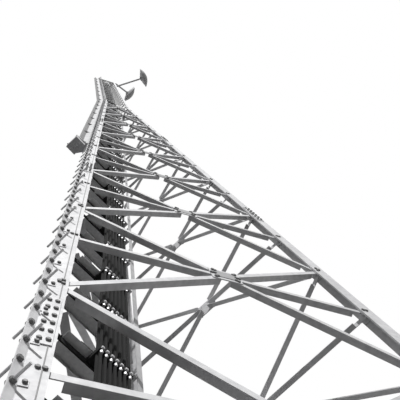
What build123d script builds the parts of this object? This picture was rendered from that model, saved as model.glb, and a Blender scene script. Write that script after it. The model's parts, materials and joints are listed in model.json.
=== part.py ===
from build123d import *
import os
from math import asin, ceil, cos, radians, sin, sqrt, tan

# Three-legged lattice tower of galvanized angles.
# Millimetres. +X runs along the front side to the right, +Y to the rear leg, +Z up.
# The origin is the middle of the left foot's underside.

# Driving dimensions of the tapered tower
SIDE_AT_GROUND = 3750
TAPER = 0.11
FIRST_JOINT = 300
LOWER_PANEL = 2850
LOWER_PANELS = 2
PANEL = 2500
PANELS = 8

# Legs: each is a bent plate whose two flanges lie in the two sides that meet there
LEG_WIDTHS = (140, 132, 124)
LEG_THICKNESS = 16
SPLICE_PANELS = (2, 5)

# Bracing angles, and the plates in front of them
GAUGE = 65
BRACE_WIDTHS = (64, 60, 56, 52)
BRACE_THICKNESS = 7
JOINT_CLEARANCE = 3
CORNER_CLEARANCE = 10
SHALLOW = 0.2
BRACE_SEAT = 2
PLATE_THICKNESS = 10
PLATE_EDGE = 58
LEG_PLATE_WIDTH = 78
LEG_PLATE_LAP = 95
CROSS_PLATE = (300, 270)
BRACE_CROSS_GAP = 98
STRUT_CROSS_GAP = 78
SHRINK = (1, 0.95, 0.88, 0.8)

# Straight mast on top
MAST_HEIGHT = 10600
MAST_TOP_SIDE = 790
MAST_PANELS = 14
MAST_LEG_WIDTH = 90
MAST_LEG_THICKNESS = 10
MAST_BAR = (45, 8)
MAST_LAP = 62

# Feet
FOOT_SIZE = 520
FOOT_THICKNESS = 30
FOOT_HOLE_RADIUS = 21
FOOT_HOLE_SPACING = 400
FOOT_INSET = 60

# Climbing rail on the left leg
RAIL_DEPTH = 48
RAIL_THICKNESS = 10
PEG_SIDES = 8
PEG_WIDTH = 18
PEG_OUT = 26
PEG_LENGTH = 128
PEG_SPACING = 241
FIRST_PEG = 2490

# Cable duct beside the rail, and the junction box at its lower end
DUCT_OUT = (100, 170)
DUCT_ACROSS = (105, 185)
BOX_OUT = (70, 260)
BOX_ACROSS = (56, 296)
BOX_ABOVE_SPLICE = 2300
BOX_HEIGHT = 320

# Brackets that hold the duct and the box off the left leg
BRACKET_SPACING = 1600
BRACKET_ON_LEG = (30, 105)
BRACKET_THICKNESS = 10

# Feeder cables inside the left leg, and the arms that carry them
ARM_SPACING = 800
FIRST_ARM = 2850
ARM_REACH = 700
MAST_ARM_REACH = 560
ARM_HALF_WIDTH = 62
ARM_NARROW_TO = 185
ARM_WIDE_FROM = 300
ARM_THICKNESS = 8
RIB_HALF_WIDTH = 5
RIB_HEIGHT = 60
CLAMP_HEIGHT = 45
CABLE_SIDES = 6
CABLE_WIDTH = 22
CABLE_PITCH = 40
CABLES = 7
MAST_CABLES = 4
CABLE_START = 410
CABLE_ACROSS = (-78, -106)

# Dish antennas near the top
DISH_RADIUS = 430
DISH_DEPTH = 130
DISH_WALL = 6
ARM_RADIUS = 38
DISH_DROPS = (300, 1800)
DISH_TURNS = (20, -35)
DISH_REACHES = (700, 1150)

# Top plate
TOP_THICKNESS = 12
TOP_HOLE_RADIUS = 180

LEGS = ("left", "right", "rear")
LEG_ANGLES = {"left": 210, "right": 330, "rear": 90}
SIDES = {"front": ("left", "right"), "right": ("right", "rear"), "left": ("rear", "left")}
SECTIONS = ("base", "low", "mid", "high")
FLANGE_ANGLE = radians(60)

TAPER_FOOT = FIRST_JOINT + LOWER_PANELS * LOWER_PANEL
TAPER_TOP = TAPER_FOOT + PANELS * PANEL
MAST_TOP = TAPER_TOP + MAST_HEIGHT
MAST_FOOT_SIDE = SIDE_AT_GROUND - TAPER * TAPER_TOP
SPLICES = tuple(TAPER_FOOT + PANEL * count for count in SPLICE_PANELS)
BOX_BOTTOM = SPLICES[0] + BOX_ABOVE_SPLICE
BOWL_RADIUS = (DISH_RADIUS ** 2 + DISH_DEPTH ** 2) / (2 * DISH_DEPTH)


def keep(name, solid):
    """Write one piece to its own file."""
    solid.label = name
    export_step(solid, f"parts/{name}.step")


# Places

def outward(leg):
    """Horizontal direction from the tower's middle to a leg."""
    angle = radians(LEG_ANGLES[leg])
    return Vector(cos(angle), sin(angle), 0)


CENTRE = outward("left") * -(SIDE_AT_GROUND / sqrt(3) - FOOT_INSET)


def side_at(z):
    """Width of a side of the tower at a height."""
    if z <= TAPER_TOP:
        return SIDE_AT_GROUND - TAPER * z
    return MAST_FOOT_SIDE + (MAST_TOP_SIDE - MAST_FOOT_SIDE) * (z - TAPER_TOP) / MAST_HEIGHT


def heel(leg, z):
    """Outer corner of a leg at a height."""
    return CENTRE + outward(leg) * (side_at(z) / sqrt(3)) + Vector(0, 0, z)


def along(side):
    """Horizontal direction of a side, from its first leg to its second."""
    first, second = SIDES[side]
    return (heel(second, 0) - heel(first, 0)).normalized()


def inward(side):
    """Horizontal direction from a side into the tower."""
    first, second = SIDES[side]
    return ((outward(first) + outward(second)) * -1).normalized()


def gauge(side, leg, z):
    """Point on a leg's flange where the bracing's lines meet it."""
    sign = 1 if leg == SIDES[side][0] else -1
    return heel(leg, z) + along(side) * (sign * GAUGE)


def crossing(side, bottom, top):
    """Where the two diagonals of a panel cross."""
    first, second = SIDES[side]
    low, high = side_at(bottom) - 2 * GAUGE, side_at(top) - 2 * GAUGE
    start = gauge(side, first, bottom)
    return start + (gauge(side, second, top) - start) * (low / (low + high))


# Shapes

def prism(points, path):
    """Solid swept straight along a path from a flat outline."""
    return Solid.extrude(Face(Wire.make_polygon(points, close=True)), path)


def leg_piece(leg, bottom, top, width, thickness):
    """Bent plate between two heights, with a flange in each side that meets at the leg."""
    corner = heel(leg, bottom)
    flanges = []
    for other in LEGS:
        if other != leg:
            run = (outward(other) - outward(leg)).normalized()
            third = [name for name in LEGS if name not in (leg, other)][0]
            flanges.append((run, outward(third)))
    (run_a, in_a), (run_b, in_b) = flanges
    outline = [
        corner,
        corner + run_a * width,
        corner + run_a * width + in_a * thickness,
        corner - outward(leg) * 2 * thickness,
        corner + run_b * width + in_b * thickness,
        corner + run_b * width,
    ]
    return prism(outline, heel(leg, top) - corner)


def angle_bar(side, start, end, width, cope):
    """Angle whose upright flange lies in a side; its inner flange starts a share of the way."""
    inner = inward(side)
    across = along(side).cross(climb(side, 0, TAPER_TOP)).cross(end - start).normalized()
    if across.Z > 0:
        across = across * -1
    depth = LEG_THICKNESS + PLATE_THICKNESS - BRACE_SEAT
    low_edge = start + inner * depth + across * (width / 2)
    upright_flange = prism([
        low_edge,
        low_edge - across * width,
        low_edge - across * width + inner * BRACE_THICKNESS,
        low_edge + inner * BRACE_THICKNESS,
    ], end - start)
    low_edge = low_edge + (end - start) * cope
    inner_flange = prism([
        low_edge,
        low_edge - across * BRACE_THICKNESS,
        low_edge - across * BRACE_THICKNESS + inner * width,
        low_edge + inner * width,
    ], (end - start) * (1 - cope))
    return [upright_flange, inner_flange]


def flat_bar(side, start, end, width, thickness, depth):
    """Flat bar that lies in a side."""
    inner = inward(side)
    face = along(side).cross(climb(side, TAPER_TOP, MAST_TOP))
    half = face.cross(end - start).normalized() * (width / 2)
    corner = start + inner * depth
    outline = [
        corner - half,
        corner + half,
        corner + half + inner * thickness,
        corner - half + inner * thickness,
    ]
    return prism(outline, end - start)


def face_plate(side, low_left, width, rise, depth):
    """Flat plate in a side, from its lower left corner."""
    run = along(side) * width
    corner = low_left + inward(side) * depth
    outline = [corner, corner + run, corner + run + rise, corner + rise]
    return prism(outline, inward(side) * PLATE_THICKNESS)


def fuse_all(shapes):
    """One solid from shapes that meet."""
    first, *rest = shapes
    return first.fuse(*rest).clean() if rest else first


def one_solid(shape):
    """The single solid inside a shape."""
    solids = shape.solids()
    if len(solids) != 1:
        raise ValueError(f"expected one solid, found {len(solids)}")
    return solids[0]


# Tapered bracing

def joints():
    """Heights where the diagonals meet the legs."""
    heights = [FIRST_JOINT + LOWER_PANEL * i for i in range(LOWER_PANELS)]
    return heights + [TAPER_FOOT + PANEL * i for i in range(PANELS + 1)]


def section_of(height):
    """Number of the bracing section that a panel's foot lies in."""
    breaks = (TAPER_FOOT,) + SPLICES
    return sum(height > limit - PANEL / 2 for limit in breaks)


def toward(start, end, distance):
    """Point a distance along the way from start to end."""
    return start + (end - start).normalized() * distance


def climb(side, bottom, top):
    """Upward direction in a side between two heights, one long in height."""
    first, second = SIDES[side]
    foot = (heel(first, bottom) + heel(second, bottom)) / 2
    head = (heel(first, top) + heel(second, top)) / 2
    return (head - foot) / (top - bottom)


def leg_plate(side, leg, bottom, top, width):
    """Plate behind a leg's flange, between two heights."""
    corner = heel(leg, bottom) + along(side) * PLATE_EDGE
    if leg == SIDES[side][1]:
        corner = heel(leg, bottom) - along(side) * (PLATE_EDGE + width)
    rise = heel(leg, top) - heel(leg, bottom)
    return face_plate(side, corner, width, rise, LEG_THICKNESS)


def bar_start(slope, width):
    """Distance from the joint at which a bar clears its neighbours, on the slope it has."""
    inner_corner = (LEG_THICKNESS + PLATE_THICKNESS + BRACE_THICKNESS) * tan(FLANGE_ANGLE)
    first = inner_corner + CORNER_CLEARANCE - GAUGE
    clear_of_corner = (first + width / 2 * sin(slope)) / cos(slope)
    if slope < SHALLOW:
        return clear_of_corner
    clear_of_joint = (JOINT_CLEARANCE + width / 2 * cos(slope)) / sin(slope)
    return max(clear_of_corner, clear_of_joint)


def panel(side, bottom, top, width, shrink):
    """Four half diagonals, two struts, the plate where they cross and those at the legs."""
    middle = crossing(side, bottom, top)
    full_depth = LEG_THICKNESS + PLATE_THICKNESS + width
    lap = LEG_PLATE_LAP * shrink
    shapes = []
    for leg in SIDES[side]:
        for height, gap in ((bottom, BRACE_CROSS_GAP), (top, BRACE_CROSS_GAP),
                            (middle.Z, STRUT_CROSS_GAP)):
            root = gauge(side, leg, height)
            way = (middle - root).normalized()
            slope = asin(min(abs(way.Z), 1))
            start = root + way * bar_start(slope, width)
            end = middle - way * (gap * shrink)
            full_start = full_depth * tan(FLANGE_ANGLE) + width / 2 + 3 * CORNER_CLEARANCE
            full_start = (full_start - GAUGE) / cos(slope)
            cope = (full_start - bar_start(slope, width)) / (end - start).length
            shapes += angle_bar(side, start, end, width, cope)
            low, high = max(height - lap, bottom), min(height + lap, top)
            shapes.append(leg_plate(side, leg, low, high, LEG_PLATE_WIDTH))
    plate_width, plate_height = (size * shrink for size in CROSS_PLATE)
    rise = climb(side, bottom, top) * plate_height
    low_left = middle - along(side) * (plate_width / 2) - rise / 2
    shapes.append(face_plate(side, low_left, plate_width, rise, LEG_THICKNESS))
    return shapes


def bracing(side, number):
    """Bracing of one side between two breaks."""
    heights = joints()
    shapes = []
    for bottom, top in zip(heights, heights[1:]):
        if section_of(bottom) == number:
            shapes += panel(side, bottom, top, BRACE_WIDTHS[number], SHRINK[number])
    return one_solid(fuse_all(shapes))


# Straight mast

def mast_bracing(side):
    """Crossed flat bars and level bars between two mast legs."""
    first, second = SIDES[side]
    width, thickness = MAST_BAR
    step = (MAST_HEIGHT - 2 * width) / MAST_PANELS
    depth = MAST_LEG_THICKNESS
    inset = along(side) * MAST_LAP
    shapes = []
    for i in range(MAST_PANELS):
        low = TAPER_TOP + width + step * i
        for leg, other, sign in ((first, second, 1), (second, first, -1)):
            start = heel(leg, low) + inset * sign
            end = heel(other, low + step) - inset * sign
            shapes.append(flat_bar(side, start, end, width, thickness, depth))
        start = heel(first, low + step) + inset
        end = heel(second, low + step) - inset
        shapes.append(flat_bar(side, start, end, width, thickness, depth))
    return one_solid(fuse_all(shapes))


# Feet

def foot(leg):
    """Base plate with four holes, under a leg."""
    middle = heel(leg, 0) - outward(leg) * FOOT_INSET
    plate = Pos(*middle) * Box(
        FOOT_SIZE, FOOT_SIZE, FOOT_THICKNESS, align=(Align.CENTER, Align.CENTER, Align.MIN)
    )
    for x in (-1, 1):
        for y in (-1, 1):
            place = Pos(
                middle.X + x * FOOT_HOLE_SPACING / 2, middle.Y + y * FOOT_HOLE_SPACING / 2, 0
            )
            plate -= place * Cylinder(FOOT_HOLE_RADIUS, 4 * FOOT_THICKNESS)
    return one_solid(plate)


# Climbing rail

def beside(height, out_by, across_by):
    """Point beside the left leg's corner, outward and toward the rear of it."""
    out = outward("left")
    across = Vector(out.Y, -out.X, 0)
    return heel("left", height) + out * out_by + across * across_by


def upright(bottom, top, spots):
    """Prism beside the left leg, from an outline of outward and across distances."""
    outline = [beside(bottom, *spot) for spot in spots]
    return prism(outline, heel("left", top) - heel("left", bottom))


def rail(bottom, top):
    """Upright strip on the left leg's corner, with pegs to alternate sides."""
    half = RAIL_THICKNESS / 2
    notch = -half * sqrt(3)
    strip = [(notch, -half), (0, 0), (notch, half), (RAIL_DEPTH, half), (RAIL_DEPTH, -half)]
    shapes = [upright(bottom, top, strip)]
    count = ceil((MAST_TOP - FIRST_PEG) / PEG_SPACING)
    for i in range(count):
        height = FIRST_PEG + PEG_SPACING * i
        if bottom + PEG_WIDTH < height < top - PEG_WIDTH:
            sign = 1 if i % 2 else -1
            start = beside(height, PEG_OUT, 0)
            way = (beside(height, PEG_OUT, sign) - start).normalized()
            shapes.append(peg(start, way))
    return one_solid(fuse_all(shapes))


def peg(start, way):
    """Eight-sided bar from a point along a direction."""
    plane = Plane(origin=start, z_dir=way)
    return extrude(plane * RegularPolygon(PEG_WIDTH / 2, PEG_SIDES), PEG_LENGTH)


def rod(start, way, radius, length):
    """Round bar from a point along a direction."""
    plane = Plane(origin=start, z_dir=way)
    return plane * Cylinder(radius, length, align=(Align.CENTER, Align.CENTER, Align.MIN))


# Feeder cables

def inside_prism(height, rise, spots):
    """Prism inside the left leg from an outline of inward and across distances."""
    outline = [beside(height, -inside, across) for inside, across in spots]
    return prism(outline, heel("left", height + rise) - heel("left", height))


def cable_arm(height, reach, leg_thickness):
    """Pointed flat arm with a rib under it, seated in the leg's inner corner."""
    half_angle = FLANGE_ANGLE / 2
    root = (leg_thickness + RIB_HALF_WIDTH * cos(half_angle)) / sin(half_angle)
    outline = []
    for sign in (1, -1):
        places = [(root, RIB_HALF_WIDTH), (ARM_NARROW_TO, RIB_HALF_WIDTH),
                  (ARM_WIDE_FROM, ARM_HALF_WIDTH), (reach, ARM_HALF_WIDTH)]
        outline += [(inside, across * sign) for inside, across in places[::sign]]
    plate = inside_prism(height + RIB_HEIGHT, ARM_THICKNESS, outline)
    rib_spots = [(root, RIB_HALF_WIDTH), (reach, RIB_HALF_WIDTH), (reach, -RIB_HALF_WIDTH),
                 (root, -RIB_HALF_WIDTH)]
    return [plate, inside_prism(height, RIB_HEIGHT, rib_spots)]


def cable_clamp(height, cables):
    """Block that holds the cables to an arm's side."""
    near = CABLE_START - CABLE_PITCH / 2
    far = near + CABLE_PITCH * cables
    outer = CABLE_ACROSS[1] - 0.7 * CABLE_WIDTH
    spots = [(near, -RIB_HALF_WIDTH), (far, -RIB_HALF_WIDTH), (far, outer), (near, outer)]
    return inside_prism(height + RIB_HEIGHT - CLAMP_HEIGHT, CLAMP_HEIGHT, spots)


def cable(number, row, bottom, top):
    """One cable beside the arms, between two heights."""
    middle = beside(bottom, -(CABLE_START + CABLE_PITCH * number), CABLE_ACROSS[row])
    outline = Pos(*middle) * RegularPolygon(CABLE_WIDTH / 2, CABLE_SIDES)
    return Solid.extrude(outline.face(), heel("left", top) - heel("left", bottom))


def cable_run(bottom, top, reach, cables, leg_thickness):
    """Arms with their clamps, and the cables they hold, between two heights."""
    shapes = []
    count = ceil((MAST_TOP - FIRST_ARM) / ARM_SPACING)
    for i in range(count):
        height = FIRST_ARM + ARM_SPACING * i
        if bottom <= height < top - RIB_HEIGHT - 2 * ARM_THICKNESS:
            shapes += cable_arm(height, reach, leg_thickness)
            shapes.append(cable_clamp(height, cables))
    for row in range(len(CABLE_ACROSS)):
        for number in range(cables):
            shapes.append(cable(number, row, bottom, top))
    return one_solid(fuse_all(shapes))


# Cable duct and the box at its lower end

def block(bottom, top, out_range, across_range):
    """Upright block beside the left leg, with brackets to the leg."""
    low_out, high_out = out_range
    low_across, high_across = across_range
    spots = [(low_out, low_across), (high_out, low_across), (high_out, high_across),
             (low_out, high_across)]
    shapes = [upright(bottom, top, spots)]
    height = bottom + BRACKET_SPACING / 10
    while height + BRACKET_THICKNESS < top:
        first, last = BRACKET_ON_LEG
        run = along("left") * -1
        outline = [
            heel("left", height) + run * first,
            heel("left", height) + run * last,
            beside(height, low_out, high_across),
            beside(height, high_out, low_across),
        ]
        shapes.append(prism(outline, Vector(0, 0, BRACKET_THICKNESS)))
        height += BRACKET_SPACING
    return one_solid(fuse_all(shapes))


# Dishes

def dish(number):
    """Shallow round reflector, its arm and its place."""
    turn = radians(DISH_TURNS[number])
    look = Vector(cos(turn), sin(turn), 0)
    root = heel("right", MAST_TOP - DISH_DROPS[number])
    middle = root + look * DISH_REACHES[number]
    sphere_radius = BOWL_RADIUS
    plane = Plane(origin=middle, x_dir=(0, 0, 1), z_dir=look)
    outer = Pos(0, 0, sphere_radius) * Sphere(sphere_radius)
    inner = Pos(0, 0, sphere_radius + DISH_WALL) * Sphere(sphere_radius)
    cut = Cylinder(DISH_RADIUS, DISH_DEPTH, align=(Align.CENTER, Align.CENTER, Align.MIN))
    bowl = plane * ((outer - inner) & cut)
    return one_solid(bowl)


def dish_arm(number, leg):
    """Pipe from the right mast leg to the back of a dish."""
    turn = radians(DISH_TURNS[number])
    look = Vector(cos(turn), sin(turn), 0)
    root = heel("right", MAST_TOP - DISH_DROPS[number])
    reach = DISH_REACHES[number]
    pipe = rod(root - look * MAST_LEG_THICKNESS, look, ARM_RADIUS, reach + 2 * MAST_LEG_THICKNESS)
    pipe -= leg
    pipe -= Pos(*(root + look * (reach + BOWL_RADIUS))) * Sphere(BOWL_RADIUS)
    return max(pipe.solids(), key=lambda solid: solid.volume)


def top_plate():
    """Three-cornered plate that closes the mast, with a round opening."""
    outline = [heel(leg, MAST_TOP) for leg in LEGS]
    plate = prism(outline, Vector(0, 0, TOP_THICKNESS))
    plate -= Pos(CENTRE.X, CENTRE.Y, MAST_TOP) * Cylinder(TOP_HOLE_RADIUS, 4 * TOP_THICKNESS)
    return one_solid(plate)


# All pieces

os.makedirs("parts", exist_ok=True)

for leg in LEGS:
    keep(f"{leg}_foot", foot(leg))
    breaks = (FOOT_THICKNESS,) + SPLICES + (TAPER_TOP,)
    for name, low, high, width in zip(SECTIONS[1:], breaks, breaks[1:], LEG_WIDTHS):
        keep(f"{leg}_leg_{name}", leg_piece(leg, low, high, width, LEG_THICKNESS))
    mast_leg = leg_piece(leg, TAPER_TOP, MAST_TOP, MAST_LEG_WIDTH, MAST_LEG_THICKNESS)
    keep(f"{leg}_mast_leg", mast_leg)
    if leg == "right":
        for number, name in enumerate(("upper", "lower")):
            keep(f"{name}_dish", dish(number))
            keep(f"{name}_dish_arm", dish_arm(number, mast_leg))

for side in SIDES:
    for number, name in enumerate(SECTIONS):
        keep(f"{side}_bracing_{name}", bracing(side, number))
    keep(f"{side}_mast_bracing", mast_bracing(side))

rail_ends = (FIRST_PEG - PEG_SPACING, SPLICES[0], TAPER_TOP, MAST_TOP)
for name, low, high in zip(SECTIONS[1:], rail_ends, rail_ends[1:]):
    keep(f"climbing_rail_{name}", rail(low, high))

cable_ends = (FIRST_ARM - ARM_SPACING / 4,) + SPLICES + (TAPER_TOP,)
for name, low, high in zip(SECTIONS[1:], cable_ends, cable_ends[1:]):
    keep(f"feeder_cables_{name}", cable_run(low, high, ARM_REACH, CABLES, LEG_THICKNESS))
mast_cables = cable_run(TAPER_TOP, MAST_TOP, MAST_ARM_REACH, MAST_CABLES, MAST_LEG_THICKNESS)
keep("mast_feeder_cables", mast_cables)

keep("junction_box", block(BOX_BOTTOM, BOX_BOTTOM + BOX_HEIGHT, BOX_OUT, BOX_ACROSS))
keep("cable_duct_low", block(BOX_BOTTOM + BOX_HEIGHT, TAPER_TOP, DUCT_OUT, DUCT_ACROSS))
keep("cable_duct_high", block(TAPER_TOP, MAST_TOP, DUCT_OUT, DUCT_ACROSS))
keep("top_plate", top_plate())
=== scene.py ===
import json
from math import ceil, cos, pi, radians, sin, sqrt

import bpy
from mathutils import Matrix, Vector


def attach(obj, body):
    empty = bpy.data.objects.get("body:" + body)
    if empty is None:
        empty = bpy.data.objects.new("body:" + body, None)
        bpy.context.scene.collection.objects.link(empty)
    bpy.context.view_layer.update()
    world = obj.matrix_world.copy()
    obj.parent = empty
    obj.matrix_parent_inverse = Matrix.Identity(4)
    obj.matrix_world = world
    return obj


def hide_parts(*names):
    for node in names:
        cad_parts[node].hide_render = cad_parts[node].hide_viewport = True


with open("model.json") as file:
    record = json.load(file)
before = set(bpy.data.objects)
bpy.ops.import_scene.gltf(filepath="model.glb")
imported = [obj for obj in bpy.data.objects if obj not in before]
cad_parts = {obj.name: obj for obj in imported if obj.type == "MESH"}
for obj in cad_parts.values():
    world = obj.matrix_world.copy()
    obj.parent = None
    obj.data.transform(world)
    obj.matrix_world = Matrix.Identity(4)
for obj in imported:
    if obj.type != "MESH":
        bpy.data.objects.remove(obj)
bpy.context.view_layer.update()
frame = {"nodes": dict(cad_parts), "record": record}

# Camera, fitted to the corners and crossings of the lattice in the photograph
CAMERA_PLACE = (0.0537, -1.5028, 1.4367)
CAMERA_TURN = (166.040, 8.283, -17.957)
CAMERA_LENS = 64.27
CAMERA_SHIFT = (0.0195, -0.0012)
CAMERA_REACH = 200
SENSOR = 36.0

# Light, and the grey of the floor where it is seen and where it throws light back
SUN_TURN = (41, 0, -15)
SUN_STRENGTH = 3.2
SUN_SOFTNESS = 0.6
SKY_STRENGTH = 0.12
FLOOR_SIZE = 60.0
FLOOR_ROUGHNESS = 0.9
FLOOR_SEEN = 0.75
FLOOR_BOUNCE = 0.05

# Surfaces: spread of the two mottles, depth of the bump, and flakes of the zinc
LARGE_MOTTLE = (0.88, 1.06)
SMALL_DARK = (0.86, 0.86, 0.87)
SMALL_LIGHT = (1.08, 1.08, 1.08)
MOTTLE_EDGES = (0.3, 0.7)
BUMP_DEPTH = 0.002
ZINC_METALLIC = 0.15
ZINC_SCALES = (1.7, 14)
FLAKE_SCALE = 45
FLAKE_SPREAD = (-0.08, 0.1)
FEEDER_SPECULAR = 0.15

# Lattice, in metres
SIDE_AT_GROUND = 3.75
TAPER = 0.11
FIRST_JOINT = 0.3
LOWER_PANEL = 2.85
LOWER_PANELS = 2
PANEL = 2.5
PANELS = 8
SPLICE_PANELS = (2, 5)
MAST_HEIGHT = 10.6
MAST_TOP_SIDE = 0.79
GAUGE = 0.065
LEG_THICKNESS = 0.016
FOOT_INSET = 0.06
FOOT_TOP = 0.03
ANCHOR_SPACING = 0.4

# Anchors, as radius and height pairs, and the ribs between foot and leg
WASHER = ((0.002, 0), (0.036, 0), (0.036, 0.006), (0.002, 0.006))
WASHER_THICKNESS = 0.006
ANCHOR_NUT = (0.063, 0.03)
ANCHOR_STUD = ((0.018, 0), (0.018, 0.09), (0.015, 0.094), (0.001, 0.094))
STUD_SIDES = 16
RIB_ANGLES = (-60, 0, 60)
RIB_INSET = 0.004
RIB_HALF = 0.006
RIB_REACH = 0.16
RIB_TOE = 0.03
RIB_HEAD = 0.01
RIB_HEIGHT = 0.24

# Bolts: distance across the corners of a head, how far it stands out, the shares of height
# and width of its rings, and how far bolts lie from a crossing or from a joint at a leg
BOLT_SIZE = 0.034
BOLT_HEIGHT = 0.013
HEAD_RINGS = ((0, 1), (0.72, 1), (1, 0.82))
CROSS_DIAGONAL_BOLTS = (0.116, 0.142)
CROSS_STRUT_BOLTS = (0.1, 0.132)
LEG_BOLTS = (0.012, 0.048)

# Cover plates at the middle of each crossing, in a darker zinc that paints the shade where the bars
# cross
CROSS_COVER = (0.19, 0.16)
CROSS_COVER_THICKNESS = 0.005

# Cover plates over the leg splices, and one more below the foot of the upper panels
COVER_EDGE = 0.02
COVER_WIDTH = 0.1
COVER_HEIGHT = 0.72
COVER_THICKNESS = 0.008
COVER_COLUMNS = (0.045, 0.095)
COVER_ROWS = 6
LOW_COVER_DROP = 0.72

# Climbing pegs and the clips of their rail
PEG_OUT = 0.026
PEG_SPACING = 0.241
FIRST_PEG = 2.49
RAIL_HALF = 0.005
PEG_NUT = 0.042
PEG_NUT_HEIGHT = 0.02
CLIP_WIDTH = 0.05
CLIP_HEIGHT = 0.07
CLIP_THICKNESS = 0.006
CLIP_EDGE = 0.008
CLIP_BOLT_SHARE = 0.6
CLIP_BOLT = (0.03, 0.014)

# Cable arms
ARM_SPACING = 0.8
FIRST_ARM = 2.85
ARM_REACH = 0.7

# Cables and the studs of their clamps: across distances, and heights from an arm's underside
CABLE_START = 0.41
CABLE_PITCH = 0.04
CABLES = 7
MAST_CABLES = 4
CLAMP_FACE = -0.1214
CLAMP_MIDDLE = 0.0375
CLAMP_UNDERSIDE = 0.015
CLAMP_STUD_ACROSS = -0.112
STUD_SIZE = 0.024
STUD_HEIGHT = 0.026
TOP_CLEARANCE = 0.1

# Trays over the arms: where they start and end, and their height from an arm's underside
TRAY_START = 0.2
TRAY_FAR_EDGE = 0.1
TRAY_NEAR_EDGE = -0.06
TRAY_HEIGHT = 0.0555
TRAY_THICKNESS = 0.004
TRAY_LIP = 0.04
TRAY_TOP_CLEARANCE = 0.2
TRAY_OFF_LEG = 2 * LEG_THICKNESS

# Side bar that ties the arms' free ends: inward and across distances of its outline, the
# width and thickness of a tie, its across distances, and how far the bar goes below the arms
STILE_SPOTS = ((0.7, -0.13), (0.7, -0.125), (0.745, -0.125), (0.745, -0.13))
STILE_TIE = (0.05, 0.006)
STILE_TIE_ACROSS = (-0.13, -0.03)
STILE_DROP = 0.1

# Dark sheets between the leg and the duct, painted shade over the gap: outward and across distances
# of their outline
SHIELD_SPOTS = ((0.022, 0.006), (0.102, 0.104), (0.1, 0.107), (0.018, 0.009))

# Dark strip down the left leg's front flange: a painted shade line along it
STRAP_EDGE = 0.098
STRAP_WIDTH = 0.007
STRAP_THICKNESS = 0.004

# Junction box: door, hinges, latch, and glands at shares of the way along its underside
BOX_OUT = (0.07, 0.26)
BOX_ACROSS = (0.056, 0.296)
BOX_ABOVE_SPLICE = 2.3
BOX_HEIGHT = 0.32
BOX_MARGIN = 0.014
DOOR_THICKNESS = 0.006
HINGE_LENGTH = 0.05
HINGE = ((0.001, 0), (0.008, 0), (0.008, HINGE_LENGTH), (0.001, HINGE_LENGTH))
HINGE_SHARES = (0.18, 0.82)
ROUND_SIDES = 12
LATCH_EDGE = 0.02
LATCH = (0.026, 0.012)
GLAND_SHARES = (0.2, 0.4, 0.6, 0.8)
GLAND_NUT = (0.038, 0.016)
GLAND_NECK = ((0.013, 0), (0.013, 0.035), (0.001, 0.035))

# Dishes: bowls with a rolled rim sunk into them by shares of its radius, hubs and domed covers
DISH_RADIUS = 0.43
DISH_DEPTH = 0.13
DISH_DROPS = (0.3, 1.8)
DISH_TURNS = (20, -35)
DISH_REACHES = (0.7, 1.15)
DISH_WALL = 0.006
RIM_RADIUS = 0.012
RIM_SIDES = 8
RIM_SINK = (1.2, 1.4)
HUB = ((0.001, -0.02), (0.11, -0.02), (0.11, 0.03))
COVER_BULGE = 0.17
COVER_SHARE = 0.985
BOWL_INSET = 0.009
BOWL_STEPS = 10
BOWL_POLE = 0.001
COVER_POLE = 0.0005

LEG_ANGLES = {"left": 210, "right": 330, "rear": 90}
SIDES = {"front": ("left", "right"), "right": ("right", "rear"), "left": ("rear", "left")}
UP = Vector((0, 0, 1))

TAPER_FOOT = FIRST_JOINT + LOWER_PANELS * LOWER_PANEL
TAPER_TOP = TAPER_FOOT + PANELS * PANEL
MAST_TOP = TAPER_TOP + MAST_HEIGHT
MAST_FOOT_SIDE = SIDE_AT_GROUND - TAPER * TAPER_TOP
SPLICES = [TAPER_FOOT + PANEL * count for count in SPLICE_PANELS]
BOX_BOTTOM = SPLICES[0] + BOX_ABOVE_SPLICE


# Places

def outward(leg):
    """Level direction from the tower's middle to a leg."""
    angle = radians(LEG_ANGLES[leg])
    return Vector((cos(angle), sin(angle), 0))


CENTRE = outward("left") * -(SIDE_AT_GROUND / sqrt(3) - FOOT_INSET)


def side_at(z):
    """Width of a side at a height."""
    if z <= TAPER_TOP:
        return SIDE_AT_GROUND - TAPER * z
    return MAST_FOOT_SIDE + (MAST_TOP_SIDE - MAST_FOOT_SIDE) * (z - TAPER_TOP) / MAST_HEIGHT


def heel(leg, z):
    """Outer corner of a leg at a height."""
    return CENTRE + outward(leg) * (side_at(z) / sqrt(3)) + UP * z


def along(side):
    """Level direction of a side, from its first leg to its second."""
    first, second = SIDES[side]
    return (heel(second, 0) - heel(first, 0)).normalized()


def inward(side):
    """Level direction from a side into the tower."""
    first, second = SIDES[side]
    return -(outward(first) + outward(second)).normalized()


def climb(side, bottom, top):
    """Upward direction in a side between two heights, one long in height."""
    first, second = SIDES[side]
    rise = heel(first, top) + heel(second, top) - heel(first, bottom) - heel(second, bottom)
    return rise / 2 / (top - bottom)


def face_out(side, z):
    """Outward normal of a side at a height."""
    if z < TAPER_TOP:
        up = climb(side, 0, TAPER_TOP)
    else:
        up = climb(side, TAPER_TOP, MAST_TOP)
    return along(side).cross(up).normalized()


def gauge(side, leg, z):
    """Point on a leg's flange where the bracing's lines meet it."""
    sign = 1 if leg == SIDES[side][0] else -1
    return heel(leg, z) + along(side) * (sign * GAUGE)


def crossing(side, bottom, top):
    """Where the two diagonals of a panel cross."""
    first, second = SIDES[side]
    low, high = side_at(bottom) - 2 * GAUGE, side_at(top) - 2 * GAUGE
    start = gauge(side, first, bottom)
    return start + (gauge(side, second, top) - start) * (low / (low + high))


def joints():
    """Heights where the diagonals meet the legs."""
    heights = [FIRST_JOINT + LOWER_PANEL * i for i in range(LOWER_PANELS)]
    return heights + [TAPER_FOOT + PANEL * i for i in range(PANELS + 1)]


def beside(height, out_by, across_by):
    """Point beside the left leg's corner, outward and toward the rear of it."""
    out = outward("left")
    across = Vector((out.y, -out.x, 0))
    return heel("left", height) + out * out_by + across * across_by


# Materials

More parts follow.
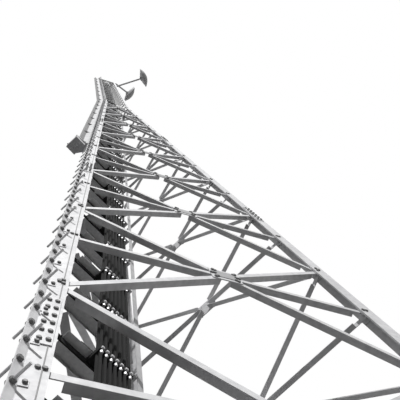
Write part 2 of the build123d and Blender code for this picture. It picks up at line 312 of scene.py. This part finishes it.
def new_material(name, roughness, metallic):
    """Material with its nodes, links and surface."""
    material = bpy.data.materials.new(name)
    material.use_nodes = True
    nodes, links = material.node_tree.nodes, material.node_tree.links
    surface = nodes["Principled BSDF"]
    surface.inputs["Metallic"].default_value = metallic
    surface.inputs["Roughness"].default_value = roughness
    return material, nodes, links, surface


def mottle(nodes, links, scale, detail, dark, light):
    """Noise in the object's own space, between two greys."""
    place = nodes.new("ShaderNodeTexCoord")
    noise = nodes.new("ShaderNodeTexNoise")
    noise.inputs["Scale"].default_value = scale
    noise.inputs["Detail"].default_value = detail
    ramp = nodes.new("ShaderNodeValToRGB")
    for element, edge, shade in zip(ramp.color_ramp.elements, MOTTLE_EDGES, (dark, light)):
        element.position = edge
        element.color = (*shade, 1)
    links.new(place.outputs["Object"], noise.inputs["Vector"])
    links.new(noise.outputs["Fac"], ramp.inputs["Fac"])
    return noise, ramp


def grained(name, shade, tint, roughness, metallic, scales, bump):
    """Two sizes of mottle over one grey, with a fine bump."""
    material, nodes, links, surface = new_material(name, roughness, metallic)
    base = [shade * part for part in tint]
    dark, light = ([part * share for part in base] for share in LARGE_MOTTLE)
    large = mottle(nodes, links, scales[0], 4, dark, light)
    small = mottle(nodes, links, scales[1], 6, SMALL_DARK, SMALL_LIGHT)
    mix = nodes.new("ShaderNodeMix")
    mix.data_type = "RGBA"
    mix.blend_type = "MULTIPLY"
    mix.inputs["Factor"].default_value = 1
    links.new(large[1].outputs["Color"], mix.inputs["A"])
    links.new(small[1].outputs["Color"], mix.inputs["B"])
    links.new(mix.outputs["Result"], surface.inputs["Base Color"])
    height = nodes.new("ShaderNodeBump")
    height.inputs["Strength"].default_value = bump
    height.inputs["Distance"].default_value = BUMP_DEPTH
    links.new(small[0].outputs["Fac"], height.inputs["Height"])
    links.new(height.outputs["Normal"], surface.inputs["Normal"])
    return material


def spangled(name, shade, roughness):
    """Galvanized steel: crystal flakes under a large mottle."""
    material = grained(name, shade, (1, 1, 1.01), roughness, ZINC_METALLIC, ZINC_SCALES, 0.2)
    nodes, links = material.node_tree.nodes, material.node_tree.links
    place = nodes.new("ShaderNodeTexCoord")
    flakes = nodes.new("ShaderNodeTexVoronoi")
    flakes.inputs["Scale"].default_value = FLAKE_SCALE
    ramp = nodes.new("ShaderNodeMapRange")
    ramp.inputs["To Min"].default_value = roughness + FLAKE_SPREAD[0]
    ramp.inputs["To Max"].default_value = roughness + FLAKE_SPREAD[1]
    links.new(place.outputs["Object"], flakes.inputs["Vector"])
    links.new(flakes.outputs["Color"], ramp.inputs["Value"])
    links.new(ramp.outputs["Result"], nodes["Principled BSDF"].inputs["Roughness"])
    return material


# Meshes

class Mesh:
    """Corners and faces of one piece, gathered bit by bit."""

    def __init__(self):
        self.corners = []
        self.faces = []

    def rings(self, rings, closed_ends=True):
        """Skin over rings of points that have equal counts."""
        first = len(self.corners)
        count = len(rings[0])
        for ring in rings:
            self.corners += ring
        for level in range(len(rings) - 1):
            for i in range(count):
                a = first + level * count + i
                b = first + level * count + (i + 1) % count
                self.faces.append((a, b, b + count, a + count))
        if closed_ends:
            last = first + (len(rings) - 1) * count
            self.faces.append(tuple(range(first + count - 1, first - 1, -1)))
            self.faces.append(tuple(range(last, last + count)))

    def prism(self, outline, path):
        """Straight prism on a flat outline."""
        self.rings([outline, [point + path for point in outline]])

    def hexagon(self, place, way, size=BOLT_SIZE, height=BOLT_HEIGHT):
        """Six-sided head with its top edge cut back."""
        side = way.orthogonal().normalized()
        other = way.cross(side)
        rings = []
        for up, share in HEAD_RINGS:
            rings.append([
                place + way * (height * up)
                + (side * cos(pi * i / 3) + other * sin(pi * i / 3)) * (size / 2 * share)
                for i in range(6)
            ])
        self.rings(rings)

    def turned(self, profile, place, way, count=40, closed_ends=False):
        """Body turned about an axis, from radius and height pairs."""
        side = way.orthogonal().normalized()
        other = way.cross(side)
        rings = []
        for radius, up in profile:
            rings.append([
                place + way * up
                + (side * cos(2 * pi * i / count) + other * sin(2 * pi * i / count)) * radius
                for i in range(count)
            ])
        self.rings(rings, closed_ends)

    def finish(self, name, material, smooth=False):
        """Make the object and let it ride with the tower."""
        data = bpy.data.meshes.new(name)
        data.from_pydata([tuple(corner) for corner in self.corners], [], self.faces)
        data.materials.append(material)
        piece = bpy.data.objects.new(name, data)
        bpy.context.collection.objects.link(piece)
        if smooth:
            data.shade_smooth()
        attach(piece, "root")
        return piece


# Camera, light and floor

def add_camera():
    """Camera at the photograph's viewing angle."""
    data = bpy.data.cameras.new("camera")
    data.sensor_width = SENSOR
    data.lens = CAMERA_LENS
    data.shift_x, data.shift_y = CAMERA_SHIFT
    data.clip_end = CAMERA_REACH
    camera = bpy.data.objects.new("camera", data)
    camera.location = CAMERA_PLACE
    camera.rotation_euler = [radians(angle) for angle in CAMERA_TURN]
    bpy.context.collection.objects.link(camera)
    bpy.context.scene.camera = camera


def add_sun():
    """High sun from the front."""
    data = bpy.data.lights.new("sun", "SUN")
    data.energy = SUN_STRENGTH
    data.angle = radians(SUN_SOFTNESS)
    sun = bpy.data.objects.new("sun", data)
    sun.rotation_euler = [radians(angle) for angle in SUN_TURN]
    bpy.context.collection.objects.link(sun)


def seen_share(nodes, links):
    """One for a ray from the camera, a gloss or a clear surface, and nought for the rest."""
    path = nodes.new("ShaderNodeLightPath")
    share = path.outputs["Is Camera Ray"]
    for kind in ("Is Glossy Ray", "Is Transmission Ray"):
        larger = nodes.new("ShaderNodeMath")
        larger.operation = "MAXIMUM"
        links.new(share, larger.inputs[0])
        links.new(path.outputs[kind], larger.inputs[1])
        share = larger.outputs[0]
    return share


def add_sky():
    """Even grey light, and white where a ray sees past the object."""
    world = bpy.data.worlds.new("sky")
    bpy.context.scene.world = world
    world.use_nodes = True
    nodes, links = world.node_tree.nodes, world.node_tree.links
    nodes.clear()
    light = nodes.new("ShaderNodeBackground")
    light.inputs["Strength"].default_value = SKY_STRENGTH
    light.inputs["Color"].default_value = (1, 1, 1, 1)
    white = nodes.new("ShaderNodeBackground")
    white.inputs["Color"].default_value = (1, 1, 1, 1)
    mix = nodes.new("ShaderNodeMixShader")
    out = nodes.new("ShaderNodeOutputWorld")
    links.new(seen_share(nodes, links), mix.inputs[0])
    links.new(light.outputs[0], mix.inputs[1])
    links.new(white.outputs[0], mix.inputs[2])
    links.new(mix.outputs[0], out.inputs[0])


def add_floor():
    """Floor that looks pale and throws little light back up."""
    bpy.ops.mesh.primitive_plane_add(size=FLOOR_SIZE, location=(CENTRE.x, CENTRE.y, 0))
    floor = bpy.context.object
    floor.name = "floor"
    material, nodes, links, surface = new_material("floor", FLOOR_ROUGHNESS, 0)
    mix = nodes.new("ShaderNodeMix")
    mix.data_type = "RGBA"
    mix.inputs["A"].default_value = (FLOOR_BOUNCE, FLOOR_BOUNCE, FLOOR_BOUNCE, 1)
    mix.inputs["B"].default_value = (FLOOR_SEEN, FLOOR_SEEN, FLOOR_SEEN, 1)
    links.new(seen_share(nodes, links), mix.inputs["Factor"])
    links.new(mix.outputs["Result"], surface.inputs["Base Color"])
    floor.data.materials.append(material)


# Bolts and plates

def bar_lines(side, bottom, top):
    """The six lines from a panel's crossing to its legs: crossing, root and whether level."""
    middle = crossing(side, bottom, top)
    lines = []
    for leg in SIDES[side]:
        for height in (bottom, top, middle.z):
            lines.append((middle, gauge(side, leg, height), height == middle.z))
    return lines


def add_bracing_bolts(side):
    """Bolts on the crossing plates and on the leg flanges of one side."""
    crossing_bolts = Mesh()
    crossing_covers = Mesh()
    leg_bolts = Mesh()
    heights = joints()
    for bottom, top in zip(heights, heights[1:]):
        out = face_out(side, bottom)
        width, height = CROSS_COVER
        rise = climb(side, bottom, top) * height
        corner = crossing(side, bottom, top) + inward(side) * LEG_THICKNESS
        corner = corner - along(side) * (width / 2) - rise / 2
        run = along(side) * width
        crossing_covers.prism([corner, corner + run, corner + run + rise, corner + rise],
                              out * CROSS_COVER_THICKNESS)
        for middle, root, level in bar_lines(side, bottom, top):
            way = (root - middle).normalized()
            for distance in CROSS_STRUT_BOLTS if level else CROSS_DIAGONAL_BOLTS:
                crossing_bolts.hexagon(middle + way * distance + inward(side) * LEG_THICKNESS, out)
            for distance in LEG_BOLTS:
                leg_bolts.hexagon(root - way * distance, out)
    crossing_bolts.finish(f"{side}_crossing_bolts", bolt_steel_painted_shade)
    leg_bolts.finish(f"{side}_leg_bolts", bolt_steel_painted_shade)
    # The covers take the darker zinc: painted shade where the bars cross
    crossing_covers.finish(f"{side}_crossing_covers", shade_painted_zinc)


def add_splices(side):
    """Cover plates over the leg splices of one side, with their bolts."""
    covers = Mesh()
    bolts = Mesh()
    for leg in SIDES[side]:
        run = along(side) * (1 if leg == SIDES[side][0] else -1)
        for splice in SPLICES + [TAPER_FOOT - LOW_COVER_DROP]:
            low, high = splice - COVER_HEIGHT / 2, splice + COVER_HEIGHT / 2
            out = face_out(side, low)
            foot, head = heel(leg, low), heel(leg, high)
            outline = [
                foot + run * COVER_EDGE,
                foot + run * (COVER_EDGE + COVER_WIDTH),
                head + run * (COVER_EDGE + COVER_WIDTH),
                head + run * COVER_EDGE,
            ]
            if run.dot(along(side)) < 0:
                outline.reverse()
            covers.prism(outline, out * COVER_THICKNESS)
            for row in range(COVER_ROWS):
                share = (2 * row + 1) / (2 * COVER_ROWS)
                for column in COVER_COLUMNS:
                    place = foot + (head - foot) * share + run * column + out * COVER_THICKNESS
                    bolts.hexagon(place, out)
    covers.finish(f"{side}_splice_covers", steel)
    bolts.finish(f"{side}_splice_bolts", bolt_steel_painted_shade)


def add_rail_fittings():
    """Nuts at the climbing pegs, and clips that hold the rail to both flanges."""
    nuts = Mesh()
    clips = Mesh()
    across = (beside(0, 0, 1) - beside(0, 0, 0)).normalized()
    count = ceil((MAST_TOP - FIRST_PEG) / PEG_SPACING)
    for i in range(count):
        height = FIRST_PEG + PEG_SPACING * i
        for sign in (1, -1):
            nuts.hexagon(beside(height, PEG_OUT, sign * RAIL_HALF), across * sign,
                         PEG_NUT, PEG_NUT_HEIGHT)
        if i % 2:
            continue
        for side, sign in (("front", 1), ("left", -1)):
            out = face_out(side, height)
            run = along(side) * sign
            foot = heel("left", height) + run * CLIP_EDGE
            head = heel("left", height + CLIP_HEIGHT) + run * CLIP_EDGE
            outline = [foot, foot + run * CLIP_WIDTH, head + run * CLIP_WIDTH, head]
            if sign < 0:
                outline.reverse()
            clips.prism(outline, out * CLIP_THICKNESS)
            place = (foot + head) / 2 + run * (CLIP_WIDTH * CLIP_BOLT_SHARE)
            nuts.hexagon(place + out * CLIP_THICKNESS, out, *CLIP_BOLT)
    nuts.finish("climbing_rail_nuts", bolt_steel_painted_shade)
    clips.finish("climbing_rail_clips", steel)


def arm_heights(limit):
    """Heights of the cable arms that stand no higher than a limit."""
    count = ceil((MAST_TOP - FIRST_ARM) / ARM_SPACING)
    heights = [FIRST_ARM + ARM_SPACING * i for i in range(count)]
    return [height for height in heights if height <= limit]


def add_clamp_bolts():
    """Studs in the sides and undersides of the feeder cables' clamps."""
    bolts = Mesh()
    toward_front = (beside(0, 0, -1) - beside(0, 0, 0)).normalized()
    for height in arm_heights(MAST_TOP - TOP_CLEARANCE):
        cables = CABLES if height < TAPER_TOP else MAST_CABLES
        for number in range(cables):
            inside = CABLE_START + CABLE_PITCH * number
            face = beside(height, -inside, CLAMP_FACE) + UP * CLAMP_MIDDLE
            bolts.hexagon(face, toward_front, STUD_SIZE, STUD_HEIGHT / 2)
            under = beside(height, -inside, CLAMP_STUD_ACROSS) + UP * CLAMP_UNDERSIDE
            bolts.hexagon(under, -UP, STUD_SIZE, STUD_HEIGHT)
    bolts.finish("cable_clamp_studs", bright_steel)


def add_trays():
    """Trays over the cable arms, cut to clear the leg, with a lip turned down at the far edge."""
    trays = Mesh()
    level = UP * TRAY_HEIGHT
    start_edge = (TRAY_START / 2 - TRAY_OFF_LEG) * 2 / sqrt(3)
    full_start = (TRAY_FAR_EDGE * sqrt(3) / 2 + TRAY_OFF_LEG) * 2
    spots = [(TRAY_START, TRAY_NEAR_EDGE), (ARM_REACH, TRAY_NEAR_EDGE),
             (ARM_REACH, TRAY_FAR_EDGE), (full_start, TRAY_FAR_EDGE), (TRAY_START, start_edge)]
    for height in arm_heights(TAPER_TOP - TRAY_TOP_CLEARANCE):
        outline = [beside(height, -inside, across) + level for inside, across in spots]
        outline.reverse()
        trays.prism(outline, UP * TRAY_THICKNESS)
        lip = [beside(height, -inside, TRAY_FAR_EDGE - shift) + level - UP * TRAY_LIP
               for inside, shift in ((full_start, 0), (ARM_REACH, 0),
                                     (ARM_REACH, TRAY_THICKNESS), (full_start, TRAY_THICKNESS))]
        trays.prism(lip, UP * TRAY_LIP)
    trays.finish("cable_trays", tray_steel)


def add_stile():
    """Side bar along the free ends of the cable arms, with a tie to each arm."""
    stile = Mesh()
    last = FIRST_ARM + ARM_SPACING * int((TAPER_TOP - FIRST_ARM) / ARM_SPACING)
    stile.rings([[beside(height, -inside, across) for inside, across in STILE_SPOTS]
                 for height in (FIRST_ARM - STILE_DROP, last)])
    width, thickness = STILE_TIE
    near, far = STILE_TIE_ACROSS
    height = FIRST_ARM
    while height < last:
        foot = height + TRAY_HEIGHT - thickness
        spots = [(ARM_REACH - width, near), (ARM_REACH, near), (ARM_REACH, far),
                 (ARM_REACH - width, far)]
        stile.prism([beside(foot, -inside, across) for inside, across in spots], UP * thickness)
        height += ARM_SPACING
    stile.finish("cable_ladder_stile", steel)


def add_duct_shields():
    """Sheets that close the gap between the leg and the cable duct, in the darker zinc as painted
    shade.
    """
    shields = Mesh()
    for ends in ((BOX_BOTTOM + BOX_HEIGHT, TAPER_TOP), (TAPER_TOP, MAST_TOP)):
        shields.rings([[beside(height, *spot) for spot in SHIELD_SPOTS] for height in ends])
    shields.finish("duct_shields", shade_painted_zinc)


def add_strap():
    """Dark strip along the front flange of the left leg, painting the shaded seam line there."""
    strap = Mesh()
    run, out = along("front"), face_out("front", 0)
    foot = heel("left", FIRST_JOINT) + run * STRAP_EDGE
    head = heel("left", TAPER_TOP) + run * STRAP_EDGE
    strap.prism([foot, foot + run * STRAP_WIDTH, head + run * STRAP_WIDTH, head],
                out * STRAP_THICKNESS)
    # Dark strip: painted shade line along the flange
    strap.finish("seam_painted_shade_strip", bolt_steel_painted_shade)


def add_feet():
    """Anchor studs with nuts and washers, and the ribs between foot and leg."""
    anchors = Mesh()
    ribs = Mesh()
    for leg in LEG_ANGLES:
        middle = heel(leg, 0) - outward(leg) * FOOT_INSET
        for x in (-1, 1):
            for y in (-1, 1):
                place = middle + Vector((x, y, 0)) * (ANCHOR_SPACING / 2) + UP * FOOT_TOP
                anchors.turned(WASHER, place, UP)
                anchors.hexagon(place + UP * WASHER_THICKNESS, UP, *ANCHOR_NUT)
                anchors.turned(ANCHOR_STUD, place, UP, STUD_SIDES)
        base = heel(leg, FOOT_TOP)
        for angle in RIB_ANGLES:
            way = Matrix.Rotation(radians(angle), 3, "Z") @ outward(leg)
            side = UP.cross(way)
            start = base - outward(leg) * RIB_INSET - side * RIB_HALF
            outline = [start, start + way * RIB_REACH, start + way * RIB_REACH + UP * RIB_TOE,
                       start + way * RIB_HEAD + UP * RIB_HEIGHT, start + UP * RIB_HEIGHT]
            ribs.prism(outline, side * (2 * RIB_HALF))
    anchors.finish("anchor_bolts", bolt_steel_painted_shade)
    ribs.finish("foot_ribs", steel)


def add_dish(number, name):
    """Pressed bowl with a rolled rim, a domed cover and a hub at its back."""
    turn = radians(DISH_TURNS[number])
    look = Vector((cos(turn), sin(turn), 0))
    back = heel("right", MAST_TOP - DISH_DROPS[number]) + look * DISH_REACHES[number]
    steps = range(BOWL_STEPS + 1)
    bowl = Mesh()
    reach = DISH_RADIUS - BOWL_INSET
    outer = [(reach * i / BOWL_STEPS + BOWL_POLE, DISH_DEPTH * (i / BOWL_STEPS) ** 2) for i in steps]
    inner = [(radius, up + DISH_WALL) for radius, up in reversed(outer)]
    bowl.turned(outer + inner, back, look)
    rim = []
    for i in range(RIM_SIDES + 1):
        angle = 2 * pi * i / RIM_SIDES
        rim.append((DISH_RADIUS + RIM_RADIUS * (cos(angle) - RIM_SINK[0]),
                    DISH_DEPTH + RIM_RADIUS * (sin(angle) - RIM_SINK[1])))
    bowl.turned(rim, back, look)
    bowl.turned(HUB, back, look)
    piece = bowl.finish(f"{name}_bowl", dish_paint, True)
    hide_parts(name)
    cover = Mesh()
    dome = [(DISH_RADIUS * COVER_SHARE * i / BOWL_STEPS + COVER_POLE,
             DISH_DEPTH + COVER_BULGE * (1 - (i / BOWL_STEPS) ** 2)) for i in reversed(steps)]
    cover.turned(dome, back, look)
    cover.finish(f"{name}_cover", cover_paint, True)


def door_point(height, across_by):
    """Point on the box's front at a height and an across distance."""
    foot = beside(BOX_BOTTOM, BOX_OUT[1], 0)
    lean = (beside(BOX_BOTTOM + BOX_HEIGHT, BOX_OUT[1], 0) - foot) / BOX_HEIGHT
    across = (beside(0, 0, 1) - beside(0, 0, 0)).normalized()
    return foot + lean * (height - BOX_BOTTOM) + across * across_by


def add_box_fittings():
    """Door, hinges, latch and cable glands of the junction box."""
    door = Mesh()
    fittings = Mesh()
    glands = Mesh()
    out = outward("left")
    low, high = BOX_BOTTOM + BOX_MARGIN, BOX_BOTTOM + BOX_HEIGHT - BOX_MARGIN
    first, last = BOX_ACROSS[0] + BOX_MARGIN, BOX_ACROSS[1] - BOX_MARGIN
    door.prism([door_point(low, last), door_point(high, last), door_point(high, first),
                door_point(low, first)], out * DOOR_THICKNESS)
    lean = (door_point(high, 0) - door_point(low, 0)).normalized()
    for share in HINGE_SHARES:
        height = low + (high - low) * share - HINGE_LENGTH / 2
        place = door_point(height, first) + out * DOOR_THICKNESS
        fittings.turned(HINGE, place, lean, ROUND_SIDES)
    latch = door_point((low + high) / 2, last - LATCH_EDGE) + out * DOOR_THICKNESS
    fittings.hexagon(latch, out, *LATCH)
    for share in GLAND_SHARES:
        spot = BOX_ACROSS[0] + (BOX_ACROSS[1] - BOX_ACROSS[0]) * share
        place = beside(BOX_BOTTOM, sum(BOX_OUT) / 2, spot)
        glands.hexagon(place, -UP, *GLAND_NUT)
        glands.turned(GLAND_NECK, place, -UP, ROUND_SIDES)
    door.finish("junction_box_door", box_paint)
    glands.finish("junction_box_glands", box_paint)
    fittings.finish("junction_box_fittings", bolt_steel_painted_shade)


def dress(node, material):
    """Give a node one material."""
    obj = frame["nodes"][node]
    obj.data.materials.clear()
    obj.data.materials.append(material)


add_camera()
add_sun()
add_sky()
add_floor()

steel = spangled("galvanized", 0.66, 0.55)
# Darker zinc: painted shade, on the crossing covers and the duct shields
shade_painted_zinc = spangled("zinc_with_painted_shade", 0.36, 0.6)
# Darkest zinc, for the mast bracing: painted shade of the bars' undersides
mast_shade_painted = spangled("mast_zinc_painted_shade", 0.24, 0.6)
bright_steel = spangled("new_zinc", 0.85, 0.4)
# Very dark grey for bolts, nuts, fittings and the flange strip: painted shade that makes them read
# as dark dots
bolt_steel_painted_shade = grained("bolt_steel_painted_shade", 0.16, (1, 1, 1), 0.5, 0.3, (6, 60), 0.3)
dish_paint = grained("dish_paint", 0.8, (1, 1, 1.01), 0.45, 0, (2, 30), 0.1)
cover_paint = grained("cover_paint", 0.8, (1, 1, 1), 0.6, 0, (2, 30), 0.1)
box_paint = grained("box_paint", 0.8, (1, 1, 1.01), 0.5, 0, (3, 40), 0.15)
tray_steel = grained("tray_steel", 0.75, (1, 1, 1), 0.6, 0.2, (3, 40), 0.2)
sheath = grained("cable_sheath", 0.3, (1, 1, 1), 0.6, 0, (3, 50), 0.2)
# Near-black feeders: the jacket's own black, made darker still as painted shade in the cable band
feeder = grained("feeder_jacket", 0.025, (1, 1, 1), 0.9, 0, (3, 50), 0.2)
feeder_surface = feeder.node_tree.nodes["Principled BSDF"]
feeder_surface.inputs["Specular IOR Level"].default_value = FEEDER_SPECULAR
MATERIALS = {"zinc_steel": steel, "dish_paint": dish_paint, "box_paint": box_paint,
             "cable_sheath": sheath}
SPECIAL = {"feeder": feeder, "mast_bracing": mast_shade_painted, "rail": bright_steel}
for part in frame["record"]["subparts"]:
    node_material = MATERIALS[part["material_slot"]]
    for word, special in SPECIAL.items():
        if word in part["node"]:
            node_material = special
    dress(part["node"], node_material)

for side_name in SIDES:
    add_bracing_bolts(side_name)
    add_splices(side_name)
add_rail_fittings()
add_clamp_bolts()
add_trays()
add_stile()
add_duct_shields()
add_strap()
add_box_fittings()
add_feet()
add_dish(0, "upper_dish")
add_dish(1, "lower_dish")

bpy.context.scene.view_settings.view_transform = "Standard"
